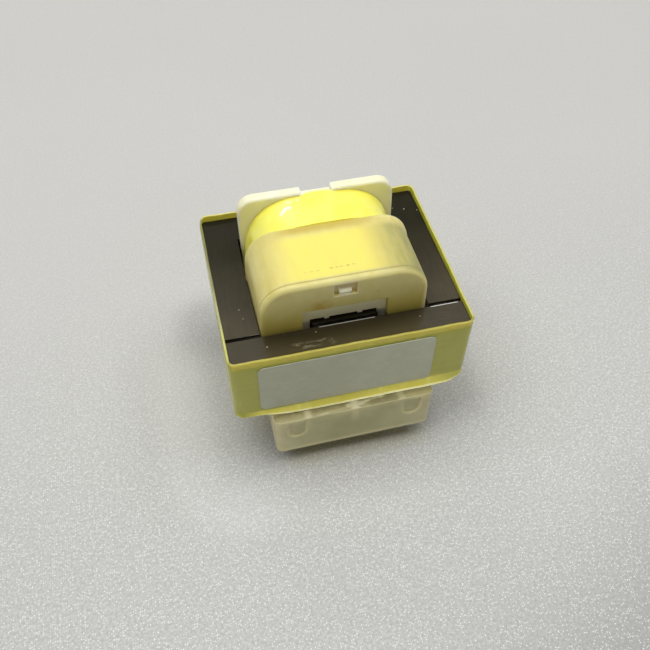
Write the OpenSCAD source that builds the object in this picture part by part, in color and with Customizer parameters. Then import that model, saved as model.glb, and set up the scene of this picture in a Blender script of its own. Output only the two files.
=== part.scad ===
// Board-mounted mains transformer: an EI core lying flat, a split bobbin with a clip-on cover over the
// primary, and a tape band round the core. It stands on its board pins, with the label facing -Y.

/* [Core] */
// Width across both outer legs
core_w = 35; // [34:0.25:37]
// Depth of the E laminations, from the leg ends to the back
e_depth = 24.7; // [24:0.1:27]
// Width of each outer leg
leg_w = 5; // [4.5:0.1:5.2]
// Width of the back yoke
yoke_w = 5; // [4.5:0.1:5.5]
// Width of the middle leg
tongue_w = 9.6; // [8:0.1:10]
// Width of the I laminations
i_w = 4.4; // [4.2:0.1:5.5]
// Open joint between the leg ends and the I laminations
joint_gap = 0.5; // [0.4:0.05:0.8]
// Height of the stack
stack_h = 12; // [10:0.5:16]
// Rounding of the core's outer corners
core_corner_r = 0.5; // [0.2:0.1:1.5]

/* [Tape band] */
// Thickness of the wound band
band_t = 0.4; // [0.15:0.05:0.4]
// Height of the band's upper lip above the core
band_over = 0.7; // [0.2:0.1:1.5]
// Depth of the band's lower lip below the core
band_under = 1.2; // [0.5:0.1:2]
// Rounding of the lower lip at the corners
band_lip_r = 1.1; // [0.5:0.1:2]

/* [Label] */
// Width of the label
label_w = 26; // [15:0.5:30]
// Height of the label
label_h = 10; // [5:0.1:10.5]
// Thickness of the label paper
label_t = 0.1; // [0.05:0.01:0.2]
// Rounding of the label's corners
label_r = 1; // [0.3:0.1:2]
// Distance from the core's top down to the label's upper edge
label_drop = 0.9; // [0.5:0.1:1.5]
// Distance of the label's middle from the core's middle, to the left
label_offset = 0.9; // [0:0.1:1.5]

/* [Bobbin] */
// Height of the rear flange above the core, and depth of the moulding below it
flange_rise = 9.05; // [8.7:0.05:11]
// Wall of the tube round the middle leg
tube_wall = 0.8; // [0.6:0.1:1]
// Thickness of the front flange
front_flange_t = 0.8; // [0.6:0.1:1.2]
// Thickness of the partition between the two windings
partition_t = 0.8; // [0.6:0.1:1.2]
// Thickness of the rear flange
rear_flange_t = 1.8; // [1:0.1:2.2]
// Rounding of the rear flange's upper corners
rear_flange_r = 2.6; // [1:0.1:4]
// Width of the notch in the rear flange's top
notch_w = 4.7; // [3:0.1:8]
// Depth of the notch in the rear flange's top
notch_depth = 0.85; // [0.4:0.05:1.5]
// Length of the winding space for the primary
primary_room = 9; // [7:0.1:10]
// Height of the centring ribs inside the tube
centring_rib_h = 0.33; // [0.2:0.01:0.36]
// Width of the centring ribs
centring_rib_w = 0.7; // [0.4:0.1:1]
// Distance between the two centring ribs
centring_rib_pitch = 4.9; // [3:0.1:6]

/* [Terminal blocks] */
// How far each block stands out past the core
block_reach = 2.2; // [2.2:0.1:3]
// Thickness of the block's outer wall
front_wall_t = 1.5; // [1.2:0.1:1.5]
// Thickness of the walls round each pin
block_wall = 0.8; // [0.6:0.1:1]
// Thickness of the block's floor under the trough
block_floor = 1.6; // [1:0.1:2.5]
// Thickness of the block's ends beside the trough
block_end = 1.9; // [1:0.1:2]
// Room in the trough behind each pin row
trough_room = 1; // [0.95:0.05:1.2]
// Rounding of the block's outer upright edges
block_edge_r = 1; // [0.5:0.1:1.5]
// Distance from the core's underside to the top of the block's outer wall
wall_drop = 0.85; // [0.5:0.05:1.1]
// Thickness of the ribs beside the pins
side_rib_t = 1.1; // [0.8:0.1:1.4]
// Thickness of the middle rib
middle_rib_t = 2.4; // [1:0.1:3]
// Width of the round-ended recess in front of each pin
recess_w = 2.9; // [2:0.1:3.2]
// Length of that recess, down the wall
recess_l = 3.8; // [3:0.1:5]
// Depth of that recess
recess_depth = 0.3; // [0.1:0.05:0.4]
// Room for solder round each pin in the block's underside, to the side and upward
solder_room = 0.3; // [0.2:0.05:0.4]

/* [Cover] */
// Height of the cover above the core
cover_rise = 8.3; // [8:0.05:9]
// Wall of the cover
cover_wall = 0.8; // [0.6:0.05:1]
// Rounding of the cover's upper edges along its length
cover_r = 4.5; // [2:0.1:5]
// How far the cover's sides reach below the core
cover_skirt = 1; // [0.5:0.1:1.5]
// Length of the thickened rim at the cover's open end
rim_l = 0.8; // [0.4:0.1:1.5]
// How far that rim stands proud
rim_h = 0.2; // [0.1:0.05:0.4]
// Width of the latch window
window_w = 3.3; // [2.5:0.1:5]
// Height of the latch window
window_h = 2.4; // [2:0.1:2.6]
// Height of the latch window's lower edge above the core
window_z = 5.3; // [4.5:0.05:5.4]
// Width of the latch bump in that window
latch_w = 1.7; // [1.2:0.1:2.3]
// Height of the latch bump
latch_h = 1.5; // [1:0.1:1.7]
// Width of the cut-out that clears the tube
cutout_w = 12.2; // [12:0.1:14]
// Height of that cut-out above the core
cutout_rise = 3.1; // [2.5:0.1:3.6]

/* [Windings] */
// Thickness of the tape round the primary
primary_tape_t = 0.2; // [0.1:0.05:0.4]
// Thickness of the tape round the secondary
secondary_tape_t = 0.25; // [0.1:0.05:0.4]
// How far the rear flange stands proud of the wrapped secondary
flange_proud = 0.2; // [0.1:0.1:1]
// Squareness of a wound coil: 2 is an ellipse, larger is more square
coil_squareness = 3.2; // [2.8:0.1:5]
// Diameter of the primary's lead-out wire
primary_wire_d = 0.25; // [0.15:0.05:0.35]
// Diameter of the secondary's lead-out wire
secondary_wire_d = 0.4; // [0.2:0.05:0.45]

/* [Pins] */
// Diameter of the pins' round board ends
pin_d = 0.8; // [0.8:0.1:1]
// Width of the square post above, which is pressed into the block and carries the wire
post_w = 0.55; // [0.4:0.05:0.55]
// Free length of the pins below the blocks
pin_free = 3.5; // [3:0.1:5]
// Length of the taper at a pin's tip
pin_taper = 0.3; // [0.1:0.1:0.5]
// Height of the posts above the block's floor, for the wire wraps
post_h = 4; // [3.6:0.1:5]
// Distance of each pin from the block's end
pin_end = 3.3; // [2.9:0.1:3.8]
// Distance of each pin row inside the core's front and back faces
pin_inset = 0.3; // [0.2:0.05:0.4]

/* [Clearances] */
// Between the core and the tape band
band_fit = 0.02; // [0.01:0.01:0.05]
// Between the middle leg's sides and the tube
tongue_side_gap = 0.15; // [0.1:0.05:0.3]
// Between the middle leg's top or bottom and the tube
tongue_top_gap = 0.4; // [0.4:0.05:0.6]
// Between the rear flange and the outer legs
flange_side_gap = 0.5; // [0.1:0.05:0.6]
// Between the blocks' ends and the line of the outer legs
block_side_gap = 0.2; // [0.1:0.05:0.4]
// Between the rear flange and the back yoke
flange_end_gap = 0.3; // [0.1:0.05:0.5]
// Between the cover and the outer legs
cover_side_gap = 0.5; // [0.4:0.05:0.6]
// Between the cover's front and the I laminations
cover_end_gap = 0.3; // [0.2:0.05:0.35]
// Between the cover's front wall and the front flange
cover_seat = 0.05; // [0.02:0.01:0.1]
// Between the cover's inside and the flanges that it covers
cover_fit = 0.1; // [0.05:0.05:0.2]
// Between the cover's inside and the wrapped primary
cover_coil_gap = 0.2; // [0.1:0.05:0.5]
// Between a winding and the bobbin walls beside it
coil_gap = 0.05; // [0.02:0.01:0.1]
// Between the blocks and the core's underside
block_top_gap = 0.1; // [0.05:0.05:0.3]
// Between the blocks and the band's lower lip
lip_gap = 0.2; // [0.1:0.05:0.3]
// Between the latch bump and the latch window's edges
latch_gap = 0.1; // [0.05:0.05:0.3]
// Between a post and its hole or its wire, all round
pin_fit = 0.02; // [0.01:0.01:0.04]

/* [Hidden] */
$fn = 64;
coil_steps = 72;
wraps = 3;
wrap_overlap = 0.95;
cut = 1;

// Heights, from the pin tips up
bobbin_bottom = pin_free;
core_bottom = bobbin_bottom + flange_rise;
core_mid = core_bottom + stack_h / 2;
core_top = core_bottom + stack_h;
bobbin_top = core_top + flange_rise;
floor_top = bobbin_bottom + block_floor;
lip_bottom = core_bottom - band_under;
rib_top = lip_bottom - lip_gap;
wall_top = core_bottom - wall_drop;
cover_top = core_top + cover_rise;
cover_bottom = core_bottom - cover_skirt;

// Stations along Y, from the label side to the back
core_d = e_depth + joint_gap + i_w;
core_front = -core_d / 2;
core_back = core_d / 2;
i_back = core_front + i_w;
leg_end = i_back + joint_gap;
cover_front = i_back + cover_end_gap;
front_flange_face = cover_front + cover_wall + cover_seat;
primary_front = front_flange_face + front_flange_t;
partition_front = primary_front + primary_room;
secondary_front = partition_front + partition_t;
rear_flange_face = core_back - yoke_w - flange_end_gap;
secondary_back = rear_flange_face - rear_flange_t;
cover_back = secondary_front - cover_seat;

// Half widths across X
window_half = core_w / 2 - leg_w;
flange_half = window_half - flange_side_gap;
block_half = window_half - block_side_gap;
cover_half = window_half - cover_side_gap;
inner_half = cover_half - cover_wall - cover_fit;
inner_top = cover_top - cover_wall - cover_fit;
inner_half_h = inner_top - core_mid;
inner_r = cover_r - cover_wall - cover_fit;

// The tube round the middle leg
hole_w = tongue_w + 2 * tongue_side_gap;
hole_h = stack_h + 2 * tongue_top_gap;
tube_w = hole_w + 2 * tube_wall;
tube_h = hole_h + 2 * tube_wall;

// The wrapped coils, as half widths and half heights
primary_half = cover_half - cover_wall - cover_coil_gap;
primary_half_h = cover_top - cover_wall - cover_coil_gap - core_mid;
secondary_half = flange_half - flange_proud;
secondary_half_h = bobbin_top - flange_proud - core_mid;

// Pins and the wire wrapped on them
pin_x = block_half - pin_end;
pin_y = core_d / 2 - pin_inset;
pin_top = floor_top + post_h;
boss_d = pin_d + 2 * block_wall;
boss_h = block_wall;
block_front = core_d / 2 + block_reach;
wall_back = block_front - front_wall_t;
trough_back = pin_y - trough_room;
rib_x = pin_x - boss_d / 2 - side_rib_t / 2;
lead_hole_d = 2.5 * secondary_wire_d;

// Outline of a wound coil: a superellipse, which is how a rectangular coil bulges
function coil_reach(c) = sign(c) * pow(abs(c), 2 / coil_squareness);
function coil_point(half, half_h, t) = [half * coil_reach(cos(t)), half_h * coil_reach(sin(t))];
function coil_outline(half, half_h) =
    [for (i = [0 : coil_steps - 1]) coil_point(half, half_h, 360 * i / coil_steps)];

// Extrudes an X-Z outline along Y between two stations
module along_y(from, to) {
    translate([0, to, 0])
        rotate([90, 0, 0])
            linear_extrude(to - from) children();
}

// Extrudes a Y-Z outline along X, to both sides of the middle
module across_x(width) {
    rotate([90, 0, 90])
        linear_extrude(width, center = true) children();
}

// Rectangle with four rounded corners, about the origin
module rounded_rect(w, d, r) {
    square([w - 2 * r, d], center = true);
    square([w, d - 2 * r], center = true);
    for (x = [-1, 1], y = [-1, 1])
        translate([x * (w / 2 - r), y * (d / 2 - r)]) circle(r);
}

// Upright plate with square lower corners and rounded upper corners
module arch(half, bottom, top, r) {
    translate([-half, bottom]) square([2 * half, top - r - bottom]);
    translate([r - half, bottom]) square([2 * (half - r), top - bottom]);
    for (x = [-1, 1]) translate([x * (half - r), top - r]) circle(r);
}

// Plan of the core with both stacks in place
module core_plan(grow) {
    rounded_rect(core_w + 2 * grow, core_d + 2 * grow, core_corner_r + grow);
}

module e_laminations() {
    color([0.24, 0.21, 0.17])
        translate([0, 0, core_bottom])
            linear_extrude(stack_h) difference() {
                intersection() {
                    core_plan(0);
                    translate([-core_w / 2, leg_end]) square([core_w, e_depth]);
                }
                for (side = [-1, 1])
                    translate([side * (window_half + tongue_w / 2) / 2, leg_end])
                        square([window_half - tongue_w / 2, 2 * (e_depth - yoke_w)], center = true);
            }
}

module i_laminations() {
    color([0.26, 0.23, 0.19])
        translate([0, 0, core_bottom])
            linear_extrude(stack_h) intersection() {
                core_plan(0);
                translate([-core_w / 2, core_front]) square([core_w, i_w]);
            }
}

// Side view of the band: straight upper lip, lower lip rounded off at the corners
module band_side(half) {
    bottom = lip_bottom;
    mirror([0, 1]) arch(half, -core_top - band_over, -bottom, band_lip_r);
}

module core_tape() {
    half_w = core_w / 2 + band_fit + band_t;
    half_d = core_d / 2 + band_fit + band_t;
    color([0.72, 0.70, 0.22])
        intersection() {
            translate([0, 0, lip_bottom - cut])
                linear_extrude(stack_h + band_over + band_under + 2 * cut) difference() {
                    core_plan(band_fit + band_t);
                    core_plan(band_fit);
                }
            along_y(-half_d - cut, half_d + cut) band_side(half_w);
            across_x(2 * half_w + 2 * cut) band_side(half_d);
        }
}

module label() {
    face = core_front - band_fit - band_t;
    color([0.88, 0.88, 0.84])
        along_y(face - label_t, face)
            translate([-label_offset, core_top - label_drop - label_h / 2])
                rounded_rect(label_w, label_h, label_r);
}

// Hole through the tube, with two centring ribs on its upper and lower sides
module tongue_hole() {
    difference() {
        square([hole_w, hole_h], center = true);
        for (x = [-1, 1], z = [-1, 1])
            translate([x * centring_rib_pitch / 2, z * (hole_h - centring_rib_h) / 2])
                square([centring_rib_w, centring_rib_h], center = true);
    }
}

// Plan of a terminal block on the -Y side, back to the given station
module block_plan(back) {
    r = block_edge_r;
    translate([-block_half, r - block_front]) square([2 * block_half, back + block_front - r]);
    translate([r - block_half, -block_front]) square([2 * (block_half - r), r + cut]);
    for (x = [-1, 1]) translate([x * (block_half - r), r - block_front]) circle(r);
}

// Plan of the trough behind a block's outer wall, which the ribs part into four
module trough_plan() {
    stops = [middle_rib_t / 2, rib_x - side_rib_t / 2, rib_x + side_rib_t / 2, block_half - block_end];
    for (side = [0, 1], i = [0, 2])
        mirror([side, 0])
            translate([stops[i], -wall_back]) square([stops[i + 1] - stops[i], wall_back - trough_back]);
}

// One terminal block on the -Y side: an outer wall, a trough for the pins and a rail under the core.
// The flange's outer and inner faces are at the two stations given.
module terminal_block(face, inner, wire_d) {
    rail_back = i_back - lip_gap;
    difference() {
        union() {
            translate([0, 0, bobbin_bottom])
                linear_extrude(block_floor) block_plan(inner);
            translate([0, 0, floor_top])
                linear_extrude(rib_top - floor_top) difference() {
                    block_plan(inner);
                    trough_plan();
                }
            // Outer wall, which stands up in front of the band's lower lip
            translate([0, 0, rib_top])
                linear_extrude(wall_top - rib_top) intersection() {
                    block_plan(inner);
                    translate([-core_w / 2, -block_front]) square([core_w, front_wall_t]);
                }
            // Rail that comes up to the core's underside behind the lip
            translate([-block_half, -trough_back, rib_top])
                cube([2 * block_half, rail_back + trough_back, core_bottom - block_top_gap - rib_top]);
            for (x = [-pin_x, pin_x])
                translate([x, -pin_y, floor_top]) cylinder(h = boss_h, d = boss_d);
        }
        for (side = [-1, 1]) {
            translate([side * pin_x, -pin_y, bobbin_bottom - cut])
                linear_extrude(block_floor + boss_h + 2 * cut) square(post_w + 2 * pin_fit, center = true);
            translate([side * pin_x, -pin_y, bobbin_bottom - cut])
                cylinder(h = cut + solder_room, d = pin_d + 2 * solder_room);
            along_y(-block_front - cut, recess_depth - block_front)
                translate([side * pin_x, wall_top - block_wall]) {
                    translate([-recess_w / 2, recess_w / 2 - recess_l])
                        square([recess_w, recess_l - recess_w / 2]);
                    translate([0, recess_w / 2 - recess_l]) circle(d = recess_w);
                }
            // Slot that leads the wire across the rail
            along_y(-trough_back - cut, face)
                translate([side * lead_x(wire_d) - lead_hole_d / 2, lead_z()])
                    square([lead_hole_d, core_bottom - lead_z()]);
            along_y(-trough_back - cut, inner + cut)
                translate([side * lead_x(wire_d), lead_z()]) circle(d = lead_hole_d);
        }
    }
}

// Bump that the cover's latch window drops over: sloped above, square below
module latch() {
    low = core_top + window_z + latch_gap;
    high = low + latch_h;
    across_x(latch_w)
        polygon([[front_flange_face + front_flange_t / 2, low],
                 [cover_front + latch_gap, low],
                 [cover_front + latch_gap, low + block_wall],
                 [front_flange_face, high],
                 [front_flange_face + front_flange_t / 2, high]]);
}

module bobbin() {
    color([0.90, 0.87, 0.74])
        difference() {
            union() {
                along_y(front_flange_face, rear_flange_face)
                    translate([0, core_mid]) square([tube_w, tube_h], center = true);
                along_y(front_flange_face, primary_front)
                    arch(inner_half, bobbin_bottom, inner_top, inner_r);
                along_y(partition_front, secondary_front)
                    translate([0, core_mid]) rounded_rect(2 * inner_half, 2 * inner_half_h, inner_r);
                along_y(secondary_back, rear_flange_face)
                    difference() {
                        arch(flange_half, bobbin_bottom, bobbin_top, rear_flange_r);
                        translate([0, bobbin_top]) square([notch_w, 2 * notch_depth], center = true);
                    }
                latch();
                terminal_block(front_flange_face, primary_front, primary_wire_d);
                mirror([0, 1, 0]) terminal_block(-rear_flange_face, -secondary_back, secondary_wire_d);
            }
            along_y(front_flange_face - cut, rear_flange_face + cut)
                translate([0, core_mid]) tongue_hole();
            for (side = [-1, 1]) {
                lead_hole(side, front_flange_face, primary_front, primary_wire_d);
                lead_hole(side, secondary_back, rear_flange_face, secondary_wire_d);
            }
        }
}

// A coil wound on the tube, as one solid between two stations
module winding(from, to, half, half_h) {
    along_y(from + coil_gap, to - coil_gap)
        translate([0, core_mid]) difference() {
            polygon(coil_outline(half, half_h));
            square([tube_w + 2 * coil_gap, tube_h + 2 * coil_gap], center = true);
        }
}

// The tape wrapped over a coil
module wrap(from, to, half, half_h, tape_t) {
    along_y(from + coil_gap, to - coil_gap)
        translate([0, core_mid]) difference() {
            polygon(coil_outline(half, half_h));
            polygon(coil_outline(half - tape_t, half_h - tape_t));
        }
}

module primary_winding() {
    color([0.72, 0.42, 0.22])
        winding(primary_front, partition_front, primary_half - primary_tape_t,
                primary_half_h - primary_tape_t);
}

module secondary_winding() {
    color([0.72, 0.42, 0.22])
        winding(secondary_front, secondary_back, secondary_half - secondary_tape_t,
                secondary_half_h - secondary_tape_t);
}

module primary_tape() {
    color([0.95, 0.88, 0.25])
        wrap(primary_front, partition_front, primary_half, primary_half_h, primary_tape_t);
}

module secondary_tape() {
    color([0.98, 0.94, 0.28])
        wrap(secondary_front, secondary_back, secondary_half, secondary_half_h, secondary_tape_t);
}

module primary_cover() {
    inside_half = cover_half - cover_wall;
    inside_top = cover_top - cover_wall;
    inside_r = cover_r - cover_wall;
    color([0.93, 0.89, 0.62])
        difference() {
            union() {
                along_y(cover_front, cover_back) arch(cover_half, cover_bottom, cover_top, cover_r);
                along_y(cover_back - rim_l, cover_back)
                    arch(cover_half + rim_h, core_top + rim_h, cover_top + rim_h, cover_r + rim_h);
            }
            along_y(cover_front + cover_wall, cover_back + cut)
                arch(inside_half, cover_bottom - cut, inside_top, inside_r);
            along_y(cover_front - cut, cover_front + cover_wall + cut) {
                translate([-window_w / 2, core_top + window_z]) square([window_w, window_h]);
                translate([-cutout_w / 2, cover_bottom - cut])
                    square([cutout_w, core_top + cutout_rise - cover_bottom + cut]);
            }
        }
}

// Board pin, standing at the origin: a tapered tip, a round end up to the block and a square post in it
module pin() {
    cylinder(h = pin_taper, d1 = pin_d - pin_taper, d2 = pin_d);
    translate([0, 0, pin_taper]) cylinder(h = pin_free - pin_taper, d = pin_d);
    translate([0, 0, pin_free - post_w])
        linear_extrude(pin_top - pin_free + post_w) square(post_w, center = true);
}

module pin_at(x, y) {
    color([0.78, 0.78, 0.76])
        translate([x * pin_x, y * pin_y, 0]) pin();
}

// Where a lead-out wire runs: past the inner side of its post, level with the middle turn on it
function wrap_r(wire_d) = post_w / sqrt(2) + pin_fit + wire_d / 2;
function lead_x(wire_d) = pin_x - wrap_r(wire_d) * wrap_overlap;
function lead_z() = pin_top - wraps * secondary_wire_d / 2;

// Hole that lets a lead-out wire through a flange
module lead_hole(side, from, to, wire_d) {
    along_y(from - cut, to + cut)
        translate([side * lead_x(wire_d), lead_z()]) circle(d = lead_hole_d);
}

// Wire from a coil's end on the -Y side: straight to the post, then wrapped round it
module lead(coil_end, wire_d) {
    r = wrap_r(wire_d);
    pitch = wire_d * wrap_overlap;
    color([0.72, 0.42, 0.22]) {
        translate([pin_x, -pin_y, lead_z()])
            rotate_extrude() {
                for (i = [0 : wraps - 1])
                    translate([r, (i - (wraps - 1) / 2) * pitch]) circle(d = wire_d);
                translate([r - wire_d / 2, -(wraps - 1) / 2 * pitch])
                    square([wire_d / 2, (wraps - 1) * pitch]);
            }
        along_y(-pin_y, coil_end)
            translate([lead_x(wire_d), lead_z()]) circle(d = wire_d);
    }
}

module primary_finish_lead() {
    lead(primary_front + coil_gap, primary_wire_d);
}

module primary_start_lead() {
    mirror([1, 0, 0]) lead(primary_front + coil_gap, primary_wire_d);
}

module secondary_finish_lead() {
    mirror([0, 1, 0]) lead(coil_gap - secondary_back, secondary_wire_d);
}

module secondary_start_lead() {
    mirror([1, 0, 0]) mirror([0, 1, 0]) lead(coil_gap - secondary_back, secondary_wire_d);
}

e_laminations();
i_laminations();
core_tape();
label();
bobbin();
primary_winding();
secondary_winding();
primary_tape();
secondary_tape();
primary_cover();
pin_at(-1, -1);  // primary_pin_left
pin_at(1, -1);  // primary_pin_right
pin_at(-1, 1);  // secondary_pin_left
pin_at(1, 1);  // secondary_pin_right
primary_start_lead();
primary_finish_lead();
secondary_start_lead();
secondary_finish_lead();
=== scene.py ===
# %% [markdown]
# # A small board transformer
#
# The CAD part is the frame: a flat EI core, a split coil former with a clip-on cover, a band of tape round the
# core and a paper label. This lesson dresses it. Pieces whose CAD form is right keep it and get a finish. Pieces
# that are soft, wound or stacked on the real object are made again here, on the same sizes.

import math

import bmesh
import bpy
import numpy as np
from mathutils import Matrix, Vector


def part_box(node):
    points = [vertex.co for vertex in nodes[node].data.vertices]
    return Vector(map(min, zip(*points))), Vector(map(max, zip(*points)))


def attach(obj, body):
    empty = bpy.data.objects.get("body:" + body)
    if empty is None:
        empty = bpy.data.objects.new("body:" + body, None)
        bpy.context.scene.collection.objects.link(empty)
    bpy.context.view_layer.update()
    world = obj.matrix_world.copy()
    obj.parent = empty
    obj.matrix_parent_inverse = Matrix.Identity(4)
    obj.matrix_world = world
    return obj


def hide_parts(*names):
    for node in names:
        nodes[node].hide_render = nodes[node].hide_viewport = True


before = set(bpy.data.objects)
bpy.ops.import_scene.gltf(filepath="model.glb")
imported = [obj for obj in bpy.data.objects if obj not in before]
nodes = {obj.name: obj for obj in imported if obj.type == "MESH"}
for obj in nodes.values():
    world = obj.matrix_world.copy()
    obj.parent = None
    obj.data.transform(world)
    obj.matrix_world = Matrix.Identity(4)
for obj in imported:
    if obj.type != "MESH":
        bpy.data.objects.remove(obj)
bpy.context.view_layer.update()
MM = 0.001

# %% [markdown]
# ## Sizes
#
# A script can't read the CAD source, so it asks the frame for its boxes. Everything below hangs on the core: its
# top and underside, the faces of the band, and the room between the cover and the rear flange.

# %% Read the sizes off the frame
def box_mm(node):
    low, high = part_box(node)
    return np.array(low) / MM, np.array(high) / MM


e_low, e_high = box_mm("e_laminations")
i_low, i_high = box_mm("i_laminations")
band_high = box_mm("core_tape")[1]
label_low, label_high = box_mm("label")
coil_high = box_mm("secondary_tape")[1]
cover_low, cover_high = box_mm("primary_cover")
former_low, former_high = box_mm("bobbin")
CORE_TOP = e_high[2]
CORE_BOTTOM = e_low[2]
CORE_MID = (CORE_TOP + CORE_BOTTOM) / 2
print("core from", round(CORE_BOTTOM, 2), "to", round(CORE_TOP, 2), "mm above the pin tips")

# %% [markdown]
# ## Shader maths as Python
#
# A finish is a graph of nodes. Written out link by link it hides its own idea, so a small class wraps a socket and
# lets ordinary operators add the Math nodes. Smooth steps of a position make the masks, so they are methods too.
# Every other node comes from one method, which sets the node's settings first and then its sockets.

# %% A socket that can be added and multiplied
class Shade:
    """An output socket of a shader tree, for use in expressions."""

    def __init__(self, tree, socket):
        self.tree = tree
        self.socket = socket

    def math(self, operation, first, second=None):
        node = self.tree.nodes.new("ShaderNodeMath")
        node.operation = operation
        for index, value in enumerate((first, second)):
            if isinstance(value, Shade):
                self.tree.links.new(value.socket, node.inputs[index])
            elif value is not None:
                node.inputs[index].default_value = value
        return Shade(self.tree, node.outputs[0])

    def __add__(self, other):
        return self.math("ADD", self, other)

    def __radd__(self, other):
        return self.math("ADD", other, self)

    def __sub__(self, other):
        return self.math("SUBTRACT", self, other)

    def __rsub__(self, other):
        return self.math("SUBTRACT", other, self)

    def __mul__(self, other):
        return self.math("MULTIPLY", self, other)

    def __rmul__(self, other):
        return self.math("MULTIPLY", other, self)

    def __pow__(self, other):
        return self.math("POWER", self, other)

    def __abs__(self):
        return self.math("ABSOLUTE", self)

    def least(self, other):
        return self.math("MINIMUM", self, other)

    def most(self, other):
        return self.math("MAXIMUM", self, other)

    def ramp(self, low, high, to_low=0.0, to_high=1.0):
        """A smooth step up, as the value goes from low to high."""
        node = self.tree.nodes.new("ShaderNodeMapRange")
        node.interpolation_type = "SMOOTHSTEP"
        self.tree.links.new(self.socket, node.inputs["Value"])
        for key, value in (("From Min", low), ("From Max", high), ("To Min", to_low), ("To Max", to_high)):
            node.inputs[key].default_value = value
        return Shade(self.tree, node.outputs[0])

    def fall(self, low, high):
        """A smooth step down: 1 below low and 0 above high."""
        return self.ramp(low, high, 1.0, 0.0)

    def span(self, low, rise, fall, high):
        """1 between rise and fall, 0 outside low and high."""
        return self.ramp(low, rise) * self.fall(fall, high)


def srgb(red, green, blue):
    """A colour as a picture editor shows it, made linear for the shader."""
    def linear(value):
        c = value / 255
        return c / 12.92 if c <= 0.04045 else ((c + 0.055) / 1.055) ** 2.4
    return (linear(red), linear(green), linear(blue), 1.0)


BLACK = (0, 0, 0, 1)


class Finish:
    """A material with one Principled shader, and the tools to feed it."""

    def __init__(self, name):
        self.material = bpy.data.materials.new(name)
        self.material.use_nodes = True
        self.tree = self.material.node_tree
        self.tree.nodes.clear()
        self.shader = self.tree.nodes.new("ShaderNodeBsdfPrincipled")
        self.output = self.tree.nodes.new("ShaderNodeOutputMaterial")
        self.tree.links.new(self.shader.outputs[0], self.output.inputs["Surface"])
        place = self.tree.nodes.new("ShaderNodeTexCoord")
        self.place = Shade(self.tree, place.outputs["Object"])

    def feed(self, node, sockets):
        for key, value in sockets.items():
            found = [s for s in node.inputs if s.identifier == key] or [s for s in node.inputs if s.name == key]
            if isinstance(value, Shade):
                self.tree.links.new(value.socket, found[0])
            else:
                found[0].default_value = value

    def node(self, kind, settings=None, sockets=None, out=0):
        made = self.tree.nodes.new("ShaderNode" + kind)
        for key, value in (settings or {}).items():
            setattr(made, key, value)
        self.feed(made, sockets or {})
        return Shade(self.tree, made.outputs[out])

    def axes(self):
        """X, Y and Z of the surface point, in millimetres of the part."""
        split = self.node("SeparateXYZ", sockets={"Vector": self.place})
        return [Shade(self.tree, split.socket.node.outputs[i]) * (1 / MM) for i in range(3)]

    def noise(self, per_mm, detail=3.0, rough=0.55, stretch=(1, 1, 1), seed=0.0):
        """Noise with about so many lumps to a millimetre, longer along an axis where stretch is small."""
        scale = tuple(s * per_mm / MM for s in stretch)
        spot = self.node("Mapping", {"vector_type": "POINT"},
                         {"Vector": self.place, "Scale": scale, "Location": (seed, seed * 0.7, seed * 1.3)})
        return self.node("TexNoise", {"noise_dimensions": "3D"},
                         {"Vector": spot, "Scale": 1.0, "Detail": detail, "Roughness": rough})

    def spot(self, across, along, inner, outer):
        """1 close to a point, from the distances to it. Inner and outer are squares."""
        return (across * across + along * along).fall(inner, outer)

    def mix(self, factor, first, second):
        """One colour over another by a factor. Three numbers are a colour as a picture editor shows it."""
        first, second = (srgb(*c) if isinstance(c, tuple) and len(c) == 3 else c for c in (first, second))
        node = self.tree.nodes.new("ShaderNodeMix")
        node.data_type = "RGBA"
        self.feed(node, {"Factor_Float": factor, "A_Color": first, "B_Color": second})
        return Shade(self.tree, [s for s in node.outputs if s.identifier == "Result_Color"][0])

    def layers(self, colour, *coats):
        """A colour with others laid over it in turn, each a pair of mask and colour."""
        for mask, coat in coats:
            colour = self.mix(mask, colour, coat)
        return colour

    def shine(self, strength, *places):
        """Light of its own in some places, each a pair of mask and colour."""
        self.set(Emission_Color=self.layers(BLACK, *places), Emission_Strength=strength)

    def bump(self, height, depth_mm, strength=1.0):
        """Relief of so many millimetres where height goes from 0 to 1."""
        self.feed(self.shader, {"Normal": self.node("Bump", sockets={
            "Height": height, "Distance": depth_mm * MM, "Strength": strength})})

    def set(self, **sockets):
        self.feed(self.shader, {key.replace("_", " "): value for key, value in sockets.items()})


print("shader tools ready")

# %% [markdown]
# ## Camera, floor and light
#
# The camera stands in front, a little to the left, and looks down at about fifty degrees. Its place and lens come
# from a fit to the corners of the core. The object stands on a pale, sparkling board under a wide, oblong soft lamp
# right above it, so tops are bright and the label side is in soft shade. Two small, narrow lamps far behind do no
# more than put two glints on the glossy film.

# %% Place the camera
camera = bpy.data.objects.new("camera", bpy.data.cameras.new("camera"))
camera.location = (-0.019474, -0.075811, 0.106499)
camera.rotation_euler = tuple(math.radians(a) for a in (39.449, -0.370, -13.556))
camera.data.sensor_width = 36.0
camera.data.lens = 41.378
camera.data.clip_start = 0.005
bpy.context.scene.collection.objects.link(camera)
bpy.context.scene.camera = camera
bpy.context.scene.view_settings.view_transform = "Standard"
print("camera at", tuple(round(v, 4) for v in camera.location))

# %% Light it from above
def soft_lamp(name, place, size, watts, aim=(0, 0, 0.015)):
    """An oblong lamp, so wide along X and so deep along Y, turned toward the aim."""
    lamp = bpy.data.lights.new(name, "AREA")
    lamp.shape = "RECTANGLE"
    lamp.size, lamp.size_y = size
    lamp.energy = watts
    holder = bpy.data.objects.new(name, lamp)
    holder.location = place
    away = np.array(place) - np.array(aim)
    holder.rotation_euler = (-math.atan2(away[1], away[2]), math.atan2(away[0], away[2]), 0)
    bpy.context.scene.collection.objects.link(holder)
    return holder


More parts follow.
